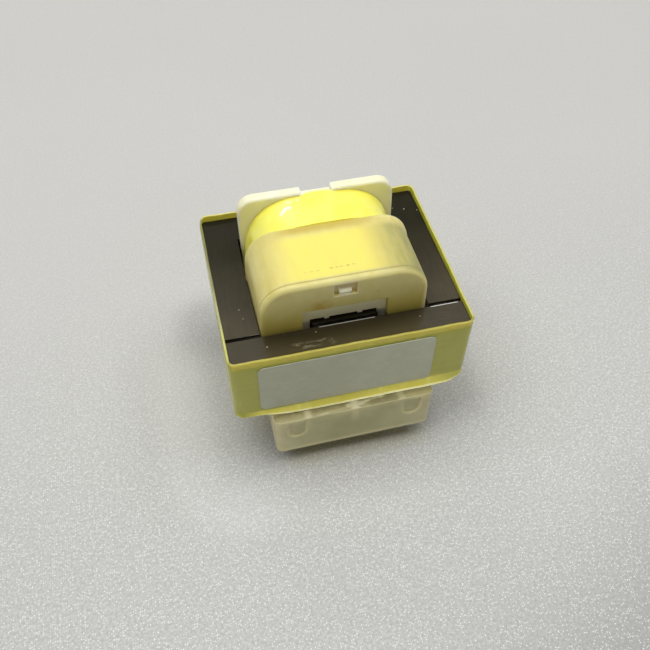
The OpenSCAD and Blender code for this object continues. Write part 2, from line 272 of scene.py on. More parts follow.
def seen_rays(tree):
    """1 for a ray from the camera, off a shiny face or through a clear one."""
    path = tree.nodes.new("ShaderNodeLightPath")
    eye, shiny, clear = (Shade(tree, path.outputs[f"Is {kind} Ray"]) for kind in ("Camera", "Glossy", "Transmission"))
    return eye.most(clear).most(shiny)


def background(tree, colour, strength):
    node = tree.nodes.new("ShaderNodeBackground")
    node.inputs["Color"].default_value = colour
    node.inputs["Strength"].default_value = strength
    return node.outputs[0]


ROOM_LIGHT = 0.12
lamps = [soft_lamp("ceiling_lamp", (-0.02, 0.05, 0.90), (1.6, 0.7), 11.6),
         soft_lamp("far_lamp", (-0.19, 0.88, 0.80), (0.32, 0.045), 0.75),
         soft_lamp("farther_lamp", (-0.02, 0.90, 0.700), (0.20, 0.04), 0.34)]
world = bpy.data.worlds.new("studio")
bpy.context.scene.world = world
world.use_nodes = True
sky = world.node_tree
sky.nodes.clear()
pick = sky.nodes.new("ShaderNodeMixShader")
room = background(sky, (0.97, 0.98, 1.0, 1), ROOM_LIGHT)
backdrop = background(sky, srgb(205, 204, 200), 1.0)
for index, socket in enumerate((seen_rays(sky).socket, room, backdrop)):
    sky.links.new(socket, pick.inputs[index])
sky.links.new(pick.outputs[0], sky.nodes.new("ShaderNodeOutputWorld").inputs["Surface"])
print("lamps of", [round(lamp.data.energy, 2) for lamp in lamps], "W, room light", ROOM_LIGHT)

# %% The board's grain, and flakes with painted glints
FLAKES_PER_M = 3200
board = Finish("sparkling_board")
floor_x, floor_y = board.axes()[:2]
grain = board.noise(2.4, detail=3.0, rough=0.65)
drift = board.noise(0.02, detail=2.0, seed=3.0)
flake_spot = board.node("Mapping", {"vector_type": "POINT"},
                        {"Vector": board.place, "Scale": (FLAKES_PER_M, FLAKES_PER_M, 0)})
flakes = board.node("TexVoronoi", {"feature": "F1", "voronoi_dimensions": "2D"}, {"Vector": flake_spot, "Scale": 1.0})
chance = board.node("SeparateColor", sockets={"Color": Shade(board.tree, flakes.socket.node.outputs["Color"])})
# The flakes are painted glints: a near-white base colour in a few cells, stronger close to the camera.
flake_glint = flakes.fall(0.10, 0.42) * chance.ramp(0.55, 1.0)
close = floor_y.fall(-40.0, 60.0)
tone = grain.ramp(0.30, 0.70) * (0.45 + 0.55 * close) + drift * 0.25 - 0.1 * (1 - close)
far_board = board.mix(tone, (194, 193, 189), (210, 209, 205))
near_board = board.mix(tone, (174, 174, 171), (200, 200, 196))
print("board with", FLAKES_PER_M * MM, "flakes to a millimetre")

# %% Lay the floor
FLOOR_HALF = 1.5
SHADE_HALF_X, SHADE_HALF_Y = 17.9, 15.2
SPARKLE = (252, 252, 250)
away = (floor_x * floor_x + floor_y * floor_y) ** 0.5
out_x, out_y = (abs(floor_x) - SHADE_HALF_X).most(0.0), (abs(floor_y) - SHADE_HALF_Y).most(0.0)
clear = (out_x * out_x + out_y * out_y) ** 0.5
corner_shade = (floor_x * 0.5 - floor_y).ramp(44.0, 82.0) * away.fall(80.0, 170.0)
# Painted light: a faint yellow tint on the floor just before the block, for light that comes through its nylon.
light_through_block = (-1 * floor_y).span(14.0, 16.0, 17.0, 19.5) * abs(floor_x - 1.0).fall(9.0, 13.5)
# Painted shadow on the floor close beside the object, and painted light a little further out on its left.
painted_side_shade = ((-1 * floor_x).ramp(15.0, 19.0) * floor_y.span(2.0, 13.0, 17.0, 25.0)).most(
    floor_x.ramp(15.0, 19.0) * floor_y.span(-20.0, -11.0, 0.0, 9.0))
painted_light_left = clear.span(1.0, 6.0, 9.0, 15.0) * (-1 * floor_x).ramp(6.0, 16.0) * floor_y.fall(4.0, 14.0)
surface = board.layers(
    board.mix(close, far_board, near_board),
    (corner_shade * 0.5, (128, 128, 125)),
    (light_through_block * 0.3, (178, 172, 118)),
    (painted_side_shade * clear.fall(3.5, 9.5) * 0.22, (90, 90, 86)),
    (painted_light_left * 0.13, SPARKLE),
    (flake_glint * (0.2 + 0.8 * close) * 0.8, SPARKLE))
seen_far = away.ramp(190.0, 480.0) * seen_rays(board.tree)
board.set(Base_Color=board.mix(seen_far, surface, BLACK), Roughness=0.6, Specular_IOR_Level=0.2)
board.shine(1.0, (seen_far, (195, 194, 190)))
board.bump(grain, 0.08, 0.4)
floor_mesh = bpy.data.meshes.new("floor")
floor_mesh.from_pydata([(FLOOR_HALF * sx, FLOOR_HALF * sy, 0) for sx, sy in ((-1, -1), (1, -1), (1, 1), (-1, 1))],
                       [], [(0, 1, 2, 3)])
floor = bpy.data.objects.new("floor", floor_mesh)
floor_mesh.materials.append(board.material)
bpy.context.scene.collection.objects.link(floor)
print("floor laid at the pin tips")

# %% [markdown]
# ## Making pieces
#
# A few helpers make every piece. One turns points and faces into an object, and another lets it ride on the part. A
# third takes a copy of a CAD node, joins its loose triangles, and rounds chosen edges, because a moulded edge is
# never sharp and it is the rounded edge that catches the light.

# %% Helpers for pieces
def settle(piece, finish, slot, *stands_for):
    """Gives a finished mesh its finish, its place on the part and the nodes that it stands for."""
    piece.data.materials.clear()
    piece.data.materials.append(finish.material)
    if piece.name not in bpy.context.scene.collection.objects:
        bpy.context.scene.collection.objects.link(piece)
    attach(piece, "root")
    if stands_for:
        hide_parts(*stands_for)
    return piece


def ring_faces(rings, count, closed=False):
    """Faces between rings of so many points, laid one after another, and back to the first ring if closed."""
    faces = []
    for row in range(rings if closed else rings - 1):
        after = (row + 1) % rings
        for i in range(count):
            j = (i + 1) % count
            faces.append((row * count + i, row * count + j, after * count + j, after * count + i))
    return faces


def mesh_piece(name, points_mm, faces, smooth_deg=35):
    mesh = bpy.data.meshes.new(name)
    mesh.from_pydata([tuple(p) for p in np.asarray(points_mm) * MM], [], faces)
    mesh.validate()
    bm = bmesh.new()
    bm.from_mesh(mesh)
    bmesh.ops.recalc_face_normals(bm, faces=bm.faces)
    bm.to_mesh(mesh)
    bm.free()
    mesh.shade_smooth()
    mesh.set_sharp_from_angle(angle=math.radians(smooth_deg))
    return bpy.data.objects.new(name, mesh)


def even_normals(piece):
    """Lets the large flat faces set the shading, so a rounded edge doesn't bend the light across them."""
    bpy.context.scene.collection.objects.link(piece)
    weigh = piece.modifiers.new("weigh", "WEIGHTED_NORMAL")
    weigh.keep_sharp = True
    ready = bpy.data.meshes.new_from_object(piece.evaluated_get(bpy.context.evaluated_depsgraph_get()))
    piece.modifiers.clear()
    piece.data = ready
    return piece


def softened(name, node, rules, ease=None, parts=()):
    """A copy of a CAD node with rounded edges. Each rule is (radius in mm, test of an edge's two ends in mm). Ease
    gives a point its new place, and parts are the x at which flat faces with holes are split first."""
    same, flat, sharp = 2e-6, math.radians(0.6), math.radians(40)
    bm = bmesh.new()
    bm.from_mesh(nodes[node].data)
    bmesh.ops.remove_doubles(bm, verts=bm.verts, dist=same)
    bmesh.ops.dissolve_limit(bm, angle_limit=flat, verts=bm.verts, edges=bm.edges)
    for place in parts:
        bmesh.ops.bisect_plane(bm, geom=bm.verts[:] + bm.edges[:] + bm.faces[:], dist=same,
                               plane_co=(place * MM, 0, 0), plane_no=(1, 0, 0))
    if parts:
        bridges = [e for e in bm.edges if len(e.link_faces) == 2 and e.calc_face_angle() < flat
                   and max(abs(c) for c in (e.verts[1].co - e.verts[0].co).normalized()) < 0.999]
        bmesh.ops.dissolve_edges(bm, edges=bridges, use_verts=False)
    if ease:
        for v in bm.verts:
            v.co = [c * MM for c in ease(np.array(v.co) / MM)]
        bm.normal_update()
        bent = [f for f in bm.faces if len(f.verts) > 3
                and max(abs((v.co - f.calc_center_median()).dot(f.normal)) for v in f.verts) > 0.004 * MM]
        bmesh.ops.triangulate(bm, faces=bent)
    rounded = 0
    for radius, test in rules:
        chosen = []
        for edge in bm.edges:
            if len(edge.link_faces) == 2 and edge.calc_face_angle() > sharp:
                if test(*(np.array(v.co) / MM for v in edge.verts)):
                    chosen.append(edge)
        rounded += len(chosen)
        bmesh.ops.bevel(bm, geom=chosen, offset=radius * MM, offset_type="OFFSET", segments=4, profile=0.5,
                        affect="EDGES", clamp_overlap=False, loop_slide=True)
    mesh = bpy.data.meshes.new(name)
    bm.to_mesh(mesh)
    bm.free()
    mesh.shade_smooth()
    mesh.set_sharp_from_angle(angle=math.radians(38))
    print(name, "from", node, "with", rounded, "edges rounded,", len(mesh.polygons), "faces")
    return even_normals(bpy.data.objects.new(name, mesh))


def near(value, target, slack=0.01):
    return abs(value - target) < slack


def both_near(a, b, axis, target, slack=0.01):
    """Whether both ends of an edge lie at a place along an axis."""
    return near(a[axis], target, slack) and near(b[axis], target, slack)


print("helpers ready")

# %% [markdown]
# ## The lamination stacks
#
# The core is a pile of thin punched sheets. From above only the top sheet shows, but the joint and the open ends
# show the layers. One sheet is drawn, and Geometry Nodes pile it up: a line of points, one sheet on each, nudged
# a few hundredths of a millimetre at random, as a stack never lines up perfectly.

# %% A node tree that piles up sheets
SEED = 11
SHEETS = 24
PITCH = (CORE_TOP - CORE_BOTTOM) / SHEETS
WANDER = 0.03


def pile_tree():
    tree = bpy.data.node_groups.new("sheet_pile", "GeometryNodeTree")
    for name, kind in (("Sheet", "Geometry"), ("Count", "Int"), ("Pitch", "Float"), ("Wander", "Float"),
                       ("Finish", "Material")):
        tree.interface.new_socket(name, in_out="INPUT", socket_type="NodeSocket" + kind)
    tree.interface.new_socket("Pile", in_out="OUTPUT", socket_type="NodeSocketGeometry")
    n, link = tree.nodes, tree.links.new
    given, result = n.new("NodeGroupInput"), n.new("NodeGroupOutput")
    line = n.new("GeometryNodeMeshLine")
    upward = n.new("ShaderNodeCombineXYZ")
    link(given.outputs["Pitch"], upward.inputs["Z"])
    link(given.outputs["Count"], line.inputs["Count"])
    link(upward.outputs[0], line.inputs["Offset"])
    put = n.new("GeometryNodeInstanceOnPoints")
    link(line.outputs[0], put.inputs["Points"])
    link(given.outputs["Sheet"], put.inputs["Instance"])
    chance = n.new("FunctionNodeRandomValue")
    chance.data_type = "FLOAT_VECTOR"
    chance.inputs["Min"].default_value = (-1, -1, 0)
    chance.inputs["Max"].default_value = (1, 1, 0)
    chance.inputs["Seed"].default_value = SEED
    scaled = n.new("ShaderNodeVectorMath")
    scaled.operation = "SCALE"
    link(chance.outputs["Value"], scaled.inputs[0])
    link(given.outputs["Wander"], scaled.inputs["Scale"])
    nudge = n.new("GeometryNodeTranslateInstances")
    link(put.outputs[0], nudge.inputs["Instances"])
    link(scaled.outputs[0], nudge.inputs["Translation"])
    real = n.new("GeometryNodeRealizeInstances")
    link(nudge.outputs[0], real.inputs[0])
    paint = n.new("GeometryNodeSetMaterial")
    link(real.outputs[0], paint.inputs["Geometry"])
    link(given.outputs["Finish"], paint.inputs["Material"])
    link(paint.outputs[0], result.inputs[0])
    return tree


SHEET_PILE = pile_tree()
print("a pile of", SHEETS, "sheets,", round(PITCH, 3), "mm each")

# %% One sheet of each kind
def corner(x, y, r, start_deg, steps=5):
    return [(x + r * math.cos(math.radians(start_deg + 90 * i / steps)),
             y + r * math.sin(math.radians(start_deg + 90 * i / steps))) for i in range(steps + 1)]


def sheet(name, outline):
    """A flat sheet with that outline, its burrs broken, its underside at the bottom of the core."""
    bm = bmesh.new()
    ring = [bm.verts.new((x * MM, y * MM, CORE_BOTTOM * MM)) for x, y in outline]
    bottom = bm.faces.new(ring)
    raised = bmesh.ops.extrude_face_region(bm, geom=[bottom])["geom"]
    for v in raised:
        if isinstance(v, bmesh.types.BMVert):
            v.co.z += PITCH * MM
    bmesh.ops.recalc_face_normals(bm, faces=bm.faces)
    flat = [e for e in bm.edges if abs(e.verts[0].co.z - e.verts[1].co.z) < 1e-7]
    bmesh.ops.bevel(bm, geom=flat, offset=0.045 * MM, segments=1, profile=0.5, affect="EDGES")
    mesh = bpy.data.meshes.new(name)
    bm.to_mesh(mesh)
    bm.free()
    return mesh


LEG, YOKE, TONGUE, ROUND = 5.0, 5.0, 9.6, 0.5
half = e_high[0] - WANDER
back = e_high[1] - WANDER
front = e_low[1] + WANDER
e_outline = (corner(half - ROUND, back - ROUND, ROUND, 0) + corner(ROUND - half, back - ROUND, ROUND, 90)
             + [(-half, front), (LEG - half, front), (LEG - half, back - YOKE), (-TONGUE / 2, back - YOKE),
                (-TONGUE / 2, front), (TONGUE / 2, front), (TONGUE / 2, back - YOKE), (half - LEG, back - YOKE),
                (half - LEG, front), (half, front)])
i_front = i_low[1] + WANDER
i_back = i_high[1] - WANDER
i_outline = ([(half, i_back), (-half, i_back)] + corner(ROUND - half, i_front + ROUND, ROUND, 180)
             + corner(half - ROUND, i_front + ROUND, ROUND, 270))
print("outlines of", len(e_outline), "and", len(i_outline), "points")

# %% [markdown]
# ## Varnished steel
#
# The sheets are dipped in dark varnish. The rolling of the steel shows through as fine lines along the legs, dust
# sits in it, and at a punched edge the varnish is thin and bare metal glints. The front bar's image of the cover is a
# painted reflection, the tops are painted darker toward the back, a painted reflection that is brightest at the
# front, and the slot under the cover is painted near black as shade. The lines are noise stretched along one axis,
# kept faint, since strong ones would read as wood. The bare edge is found from the surface normal: it is wherever
# the face is neither level nor upright.

# %% The core's finish
BAR_EDGE = i_high[1]


def varnish(name, stretch, seed, dim, bright, specks, rubbed=()):
    """Specks are (x, y, how white), and rubbed strips run from one x to another along the bar's rear edge."""
    finish = Finish(name)
    x, y, z = finish.axes()
    lines = finish.noise(5.0, detail=4.0, rough=0.7, stretch=stretch, seed=seed)
    cloud = finish.noise(0.22, detail=3.0, seed=seed + 2)
    dust = finish.noise(3.4, detail=2.0, seed=seed + 5).ramp(0.70, 0.78)
    scratches = finish.noise(1.1, detail=4.0, rough=0.7, stretch=(0.6, 1.6, 1), seed=seed + 9)
    level = abs(finish.node("SeparateXYZ", sockets={"Vector": finish.node("NewGeometry", out="Normal")}, out="Z"))
    upright = level.fall(0.05, 0.3)
    edge = level.fall(0.85, 0.97) * (1 - upright)
    tone = (lines * 0.6 + cloud * 0.5).ramp(0.35, 0.75)
    # Painted reflection: the tops are darker toward the back, and the bar beside the cover takes the cover's dim
    # yellow image.
    toward_back = y.ramp(-13.0, 9.0)
    on_bar = y.fall(BAR_EDGE, BAR_EDGE + 0.3)
    by_cover = on_bar * x.ramp(-12.5, -11.9) * (x - 0.54 * y).fall(17.2, 17.7)
    mirrored = finish.mix(y.ramp(-14.2, -11.0), (58, 50, 26), (40, 34, 17))
    # Painted shade: the slot between the legs, under the cover's cut-out, is painted near black.
    slot_shade = abs(x).fall(5.2, 5.6) * y.span(BAR_EDGE + 0.1, BAR_EDGE + 0.3, -3.0, 0.0)
    scuff = x.span(-9.0, -7.5, -3.2, -2.0) * abs(y + 13.3).fall(0.3, 0.9)
    bare = edge * cloud.ramp(0.46, 0.66) * 0.3
    rear_edge = y.ramp(BAR_EDGE - 0.27, BAR_EDGE - 0.15) * z.ramp(CORE_TOP - 0.2, CORE_TOP - 0.1)
    for start, end in rubbed:
        bare = bare.most(x.span(start, start + 0.3, end - 0.3, end) * rear_edge)
    colour = finish.layers(
        finish.mix(tone, dim, bright),
        (toward_back, finish.mix(tone, (19, 18, 9), (31, 29, 17))),
        (by_cover * 0.85, mirrored),
        (dust * 0.16, (140, 132, 106)),
        *((finish.spot(x - sx, y - sy, 0.002, 0.018) * white, (206, 200, 176)) for sx, sy, white in specks),
        (slot_shade * 0.8, (12, 11, 8)),
        (upright * (1 - slot_shade), finish.mix(tone, (20, 18, 13), (66, 61, 50))),
        (scuff * scratches.ramp(0.50, 0.68) * 0.24, (190, 182, 150)),
        (bare * 0.85, (214, 213, 208)))
    finish.set(Base_Color=colour, Metallic=bare * 0.6, Roughness=0.42 + 0.14 * lines + 0.2 * dust,
               Specular_IOR_Level=0.12, Specular_Tint=(1.0, 0.9, 0.6, 1),
               Coat_Weight=(0.58 - 0.52 * toward_back) * (1 - 0.8 * slot_shade), Coat_Roughness=0.22)
    finish.bump(lines * 0.6 + cloud * 0.4, 0.010, 0.5)
    return finish


e_finish = varnish("varnished_steel_legs", (1.0, 0.035, 0.3), 0.0, (54, 48, 34), (70, 63, 45),
                   [(13.3, 11.1, 0.6), (15.1, 10.5, 0.9), (17.1, 9.8, 0.6), (-14.6, -4.8, 0.5), (-14.3, -6.6, 0.35)])
i_finish = varnish("varnished_steel_bar", (0.035, 1.0, 0.3), 7.0, (49, 44, 32), (63, 57, 42),
                   [(10.5, -11.9, 0.4), (-11.9, -12.4, 0.7), (-4.7, -11.3, 0.4)], [(-4.2, 4.3), (12.4, 16.9)])


def pile(name, mesh, finish, node):
    """Piles one sheet into a stack with Geometry Nodes and keeps the result as a plain mesh."""
    stack = bpy.data.objects.new(name, mesh)
    bpy.context.scene.collection.objects.link(stack)
    heap = stack.modifiers.new("pile", "NODES")
    heap.node_group = SHEET_PILE
    ids = {s.name: s.identifier for s in SHEET_PILE.interface.items_tree if s.in_out == "INPUT"}
    heap[ids["Count"]] = SHEETS
    heap[ids["Pitch"]] = PITCH * MM
    heap[ids["Wander"]] = WANDER * 0.7 * MM
    heap[ids["Finish"]] = finish.material
    ready = bpy.data.meshes.new_from_object(stack.evaluated_get(bpy.context.evaluated_depsgraph_get()))
    stack.modifiers.clear()
    stack.data = ready
    print(name, "has", len(ready.polygons), "faces")
    return settle(stack, finish, "lamination_steel", node)


pile("e_sheet_stack", sheet("e_sheet", e_outline), e_finish, "e_laminations")
pile("i_sheet_stack", sheet("i_sheet", i_outline), i_finish, "i_laminations")

# %% [markdown]
# ## The tape band
#
# A few turns of polyester film hold the core together. The band is wider than the stack, so a lip stands up all
# round the top and hangs down below, where it flares a little and curls in at the corners. It is made as a strip
# that runs round the core: each column of points stands on the core's rounded plan, and smooth curves round the core
# say how far the strip leans out there and where its edges end.

# %% The path round the core
def plan_path(half_x, half_y, r, per_mm, per_corner=10):
    """Points and outward normals round a rounded rectangle, anticlockwise from its right side's rear end."""
    corners = [(half_x - r, half_y - r, 0), (r - half_x, half_y - r, 90), (r - half_x, r - half_y, 180),
               (half_x - r, r - half_y, 270)]
    spots = []
    for index, (cx, cy, start) in enumerate(corners):
        for i in range(per_corner + 1):
            a = math.radians(start + 90 * i / per_corner)
            spots.append((cx + r * math.cos(a), cy + r * math.sin(a), math.cos(a), math.sin(a)))
        nx, ny, nstart = corners[(index + 1) % 4]
        ax, ay, ux, uy = spots[-1]
        b = math.radians(nstart)
        bx, by = nx + r * math.cos(b), ny + r * math.sin(b)
        count = int(math.hypot(bx - ax, by - ay) * per_mm)
        for i in range(1, count):
            t = i / count
            spots.append((ax + (bx - ax) * t, ay + (by - ay) * t, ux, uy))
    return np.array(spots)


BAND_T, BAND_ROUND, SLACK = 0.3, 1.25, 0.1
PER_MM = 2.2
path = plan_path(band_high[0], band_high[1], BAND_ROUND, PER_MM)
around = np.concatenate([[0], np.cumsum(np.hypot(*np.diff(path[:, :2], axis=0).T))])
around = around / (around[-1] + 1 / PER_MM) * 2 * math.pi
print("band path of", len(path), "points")

# %% How the lips lean and where they end
def wave(angle, parts):
    return sum(size * np.sin(count * angle + shift) for size, count, shift in parts)


def step(value, low, high):
    t = np.clip((value - low) / (high - low), 0, 1)
    return t * t * (3 - 2 * t)


x, y = path[:, 0], path[:, 1]
half_x, half_y = band_high[0], band_high[1]
front_side, back_side = step(-y, half_y - 0.9, half_y - 0.2), step(y, half_y - 0.9, half_y - 0.2)
right_side, left_side = step(x, half_x - 0.9, half_x - 0.2), step(-x, half_x - 0.9, half_x - 0.2)
sides_in_all = front_side + back_side + right_side + left_side
right_rise = 0.62 + 0.22 * step(y, -12.5, 6.0)
left_rise = 0.50 - 0.62 * step(y, -13.0, -4.0) + 0.55 * step(y, 5.0, 14.6)
rise = (0.62 * front_side + 1.0 * back_side + right_rise * right_side + left_rise * left_side) / sides_in_all
upper_edge = CORE_TOP + rise + wave(around, [(0.03, 8, 1.1), (0.025, 19, 0.3), (0.02, 37, 2.2), (0.012, 83, 0.9)])
lean = 0.09 * right_side + 0.04 * back_side - 0.04 * left_side + wave(around, [(0.01, 7, 0.2)]) - 0.01

# The front lip hangs lowest in the middle, where it flares over the terminal block, and turns up at both corners
turned = 2 * np.abs(path[:, 2] * path[:, 3]) * step(-y, 0.0, 10.0)
hang = (0.72 - 0.56 * step(-x, 8.0, 13.0) - 0.30 * step(-x, 14.0, 17.5) - 0.10 * step(x, 11.0, 12.5)
        - 0.60 * step(x, 14.5, 17.5)) * front_side + 0.85 * (1 - front_side) - 0.5 * turned
lower_edge = CORE_BOTTOM - hang + wave(around, [(0.03, 9, 0.4), (0.025, 17, 1.9), (0.015, 31, 0.2), (0.012, 71, 1.2)])
flare = front_side * (0.58 - 0.30 * step(-x, 11.5, 14.0) - 0.40 * step(x, 15.0, 17.0)) - 0.12 * (1 - front_side)
lip_start = CORE_BOTTOM + 0.85 + 0.55 * step(x, -14.0, 12.0)
print("lower lip ends between", round(lower_edge.min(), 2), "and", round(lower_edge.max(), 2), "mm")

# %% Build the strip
TURN_END = CORE_TOP - 0.46


def band_mesh():
    """Rows of points from the lower edge to the upper edge: the lower lip leans out and curls, the outer turns end
    below the top. Each row also says how deep it is in the lower lip, as a negative number, or in the upper one."""
    levels = []
    for t in np.array([0.0, 0.02, 0.05, 0.10, 0.18, 0.30, 0.45, 0.62, 0.8, 0.95]):
        curl = 0.75 * (1 - t) ** 1.35 + 0.25 * (1 - t) ** 9
        levels.append((lower_edge + (lip_start - lower_edge) * t, flare * curl - SLACK, t - 1))
    for t in np.linspace(0.1, 0.95, 10):
        swell = wave(around, [(0.012, 5, 3 * t), (0.010, 13, 5 * t), (0.006, 29, 9 * t)])
        levels.append((lip_start + (TURN_END - 0.09 - lip_start) * t, swell - SLACK, 0))
    ragged = wave(around, [(0.02, 11, 0.7), (0.012, 27, 1.4)])
    levels.append((TURN_END - 0.06 + ragged, np.full_like(around, -SLACK), 0))
    levels.append((TURN_END + ragged, np.full_like(around, -SLACK - 0.03), 0.05))
    for t in np.array([0.15, 0.4, 0.65, 0.85, 0.96, 1.0]):
        height = TURN_END + ragged * (1 - t) + (upper_edge - TURN_END) * t
        levels.append((height, lean * t ** 1.4 - SLACK - 0.03, t))
    points, depths = [], []
    rows = list(enumerate(levels))
    for inner, order in ((False, rows), (True, rows[::-1])):
        for index, (height, out, depth) in order:
            thin = BAND_T if 0 < index < len(rows) - 1 else BAND_T * 0.55
            offset = out - (thin if inner else (BAND_T - thin) * 0.5)
            points.append(np.stack([x + path[:, 2] * offset, y + path[:, 3] * offset, height], 1))
            depths.append(np.full(len(path), float(depth)))
    return np.concatenate(points), ring_faces(2 * len(rows), len(path), closed=True), np.concatenate(depths)


band_points, band_faces, lip_depth = band_mesh()
band = mesh_piece("yellow_tape_band", band_points, band_faces, 50)
band.data.attributes.new("lip", "FLOAT", "POINT").data.foreach_set("value", lip_depth)
print("band of", len(band_faces), "faces")

# %% [markdown]
# ## Film on dark steel
#
# The film is clear yellow. Over the dark core it looks olive, and in the lips, with nothing behind it, light comes
# through and it glows. The strip carries a number for that: how deep a point is in a lip. A translucent shader takes
# part of the upper lip, so it is lit from behind as film is. The lower lip is lit through the nylon below it and the
# back lip by the coil before it, so they give off a little light, and most along the lower cut edge.

# %% The band's finish
film = Finish("polyester_band")
fx, fy = film.axes()[:2]
lip = film.node("Attribute", {"attribute_name": "lip"}, out="Fac")
low_lip = (-1 * lip).ramp(0.02, 0.3) * fx.ramp(-16.8, -13.5) * (1 - 0.6 * fx.ramp(12.5, 16.5))
high_lip = lip.ramp(0.0, 0.12)
mottle = film.noise(0.35, detail=4.0, rough=0.6, stretch=(1, 1, 0.45))
streak = film.noise(1.6, detail=2.0, stretch=(0.08, 0.08, 1.0), seed=4.0)
chips = film.noise(1.3, detail=3.0, seed=12.0)
spotted = mottle.ramp(0.3, 0.7)
at_front, at_back = (-1 * fy).ramp(14.6, 15.0), fy.ramp(14.2, 14.7)
# Painted glint: the lower lip's cut edge is painted near white in broken dashes.
cut_edge_glint = (-1 * lip).ramp(0.82, 0.90) * low_lip * chips.ramp(0.30, 0.60, 0.45, 1.0)
left_face = (-1 * fx).ramp(17.0, 17.5) * fy.ramp(-10.5, -6.0)
high_tone = film.layers(film.mix(spotted, (208, 206, 76), (226, 224, 104)),
                        (at_back, (232, 224, 104)), (at_front, (250, 238, 98)))
# Painted highlight: the upper lip's top edge is pale, but dark at the front, and the left face is lighter toward its
# front end.
edge_tone = film.mix((-1 * fy).ramp(13.6, 14.6), (240, 236, 150), (160, 150, 60))
left_tone = film.mix(fy.ramp(-4.0, 3.0), (208, 206, 148), (132, 130, 66))
over_steel = film.mix((mottle * 0.7 + streak * 0.3).ramp(0.25, 0.75), (181, 180, 46), (197, 194, 62))
low_tone = film.mix(spotted, (240, 230, 84), (252, 244, 114))
upper = film.layers(high_tone, (lip.ramp(0.95, 1.0) * 0.8, edge_tone), (left_face * 0.85, left_tone))
colour = film.layers(over_steel, (low_lip, low_tone), (high_lip, upper), (cut_edge_glint, (255, 252, 200)))
film.set(Base_Color=colour, Roughness=0.20 + 0.12 * mottle, Coat_Weight=0.25, IOR=1.6)
film.bump(mottle * 0.6 + streak * 0.4, 0.03, 0.5)
print("film over steel and in the lips")

# %% Light through the lips
lit_lip = film.mix(fx.span(0.0, 7.0, 11.0, 13.0), (112, 104, 30), (146, 138, 50))
lit_edge = film.mix(fx.ramp(-11.0, 8.0), (140, 136, 80), (238, 234, 182))
film.shine(0.35, (low_lip, lit_lip), (high_lip * at_back, (78, 72, 34)), (cut_edge_glint, lit_edge))
glow = film.node("BsdfTranslucent", sockets={"Color": high_tone})
both = film.tree.nodes.new("ShaderNodeMixShader")
film.feed(both, {"Fac": high_lip * 0.36 + low_lip * 0.04})
film.tree.links.new(film.shader.outputs[0], both.inputs[1])
film.tree.links.new(glow.socket, both.inputs[2])
film.tree.links.new(both.outputs[0], film.output.inputs["Surface"])
settle(band, film, "core_band_tape", "core_tape")
print("band finished")

# %% [markdown]
# ## The label
#
# A die-cut paper label sits on the front of the band, a little to the left. It is a thin plate with round corners,
# softened at the edge and left bare. Paper is never one flat white, so faint fibre and a warm cast vary it.

# %% Cut and stick the label
LABEL_ROUND = 1.0


def label_mesh():
    mid_x, mid_z = (label_low[0] + label_high[0]) / 2, (label_low[2] + label_high[2]) / 2
    wide, high = (label_high[0] - label_low[0]) / 2 - LABEL_ROUND, (label_high[2] - label_low[2]) / 2 - LABEL_ROUND
    points = []
    steps = [(0.0, label_high[1]), (0.0, label_low[1] + 0.05), (0.035, label_low[1] + 0.01), (0.12, label_low[1])]
    for inset, depth in steps:
        ring = []
        for cx, cz, start in ((1, 1, 0), (-1, 1, 90), (-1, -1, 180), (1, -1, 270)):
            ring += corner(mid_x + cx * wide, mid_z + cz * high, LABEL_ROUND - inset, start, 8)
        points += [(px, depth, pz) for px, pz in ring]
    count = len(points) // len(steps)
    plates = [tuple(range(len(points) - count, len(points))), tuple(range(count))[::-1]]
    return points, ring_faces(len(steps), count) + plates


paper = Finish("label_stock")
fibre = paper.noise(1.6, detail=5.0, rough=0.65, stretch=(0.5, 1, 1))
cast = paper.noise(0.12, detail=2.0, seed=6.0)
paler = (fibre * 0.5 + cast * 0.5).ramp(0.35, 0.65) * 0.6 + paper.axes()[0].ramp(-13.0, 12.0) * 0.6
paper.set(Base_Color=paper.mix(paler, (194, 194, 170), (212, 213, 186)), Roughness=0.46 + 0.1 * fibre)
paper.bump(fibre, 0.006, 0.4)
label = even_normals(mesh_piece("blank_label", *label_mesh(), smooth_deg=60))
settle(label, paper, "label_paper", "label")
print("label stuck on")

# %% [markdown]
# ## Natural nylon
#
# The coil former is moulded in undyed nylon, which is cream and lets a little light into its skin. Subsurface
# scattering does that. The thick rear flange looks nearly white on top. The terminal block is hollow and sits under
# the core, so its wall is painted darker than the flange as shade, and a little lighter at its solid ends. The ribs
# and edges behind the wall are painted as soft pale bars from their place, as light that comes through the wall, and
# its edges, brim, window and latch carry painted light and shade. The moulded edges are rounded on a copy of the CAD
# solid, and the former leans a touch in its play: its top to the left, its block to the right.

# %% The former's nylon
FOOT_Z = former_low[2]
BLOCK_Y = former_high[1]
WALL_TOP = CORE_BOTTOM - 0.85
# How far forward the block's wall, its trough and the front flange's face lie
WALL_Y, TROUGH_Y, FACE_Y = 15.5, 13.5, 9.25
FLANGE_FRONT, FLANGE_BACK = coil_high[1] + 0.05, coil_high[1] + 0.05 + 1.8
RIB_X, PIN_X, RECESS_Z, CUP_R = 7.25, 9.0, WALL_TOP - 3.15, 1.3
LATCH_Z = CORE_TOP + 5.4
PLAY, FOOT_PLAY, FOOT_TILT = 0.17, 0.13, 0.012

nylon = Finish("natural_nylon")
nx, ny, nz = nylon.axes()
forward = -1 * ny
bx = nx - FOOT_PLAY
bz = nz - FOOT_TILT * bx
swirl = nylon.noise(0.16, detail=3.0, seed=2.0)
pores = nylon.noise(3.0, detail=2.0, seed=8.0)
speckle = nylon.noise(1.2, detail=4.0, rough=0.65, stretch=(0.7, 1.8, 1.0), seed=6.0).ramp(0.42, 0.66)
clouded = swirl.ramp(0.32, 0.68)
ivory = nylon.mix(clouded, (250, 243, 204), (254, 249, 220))
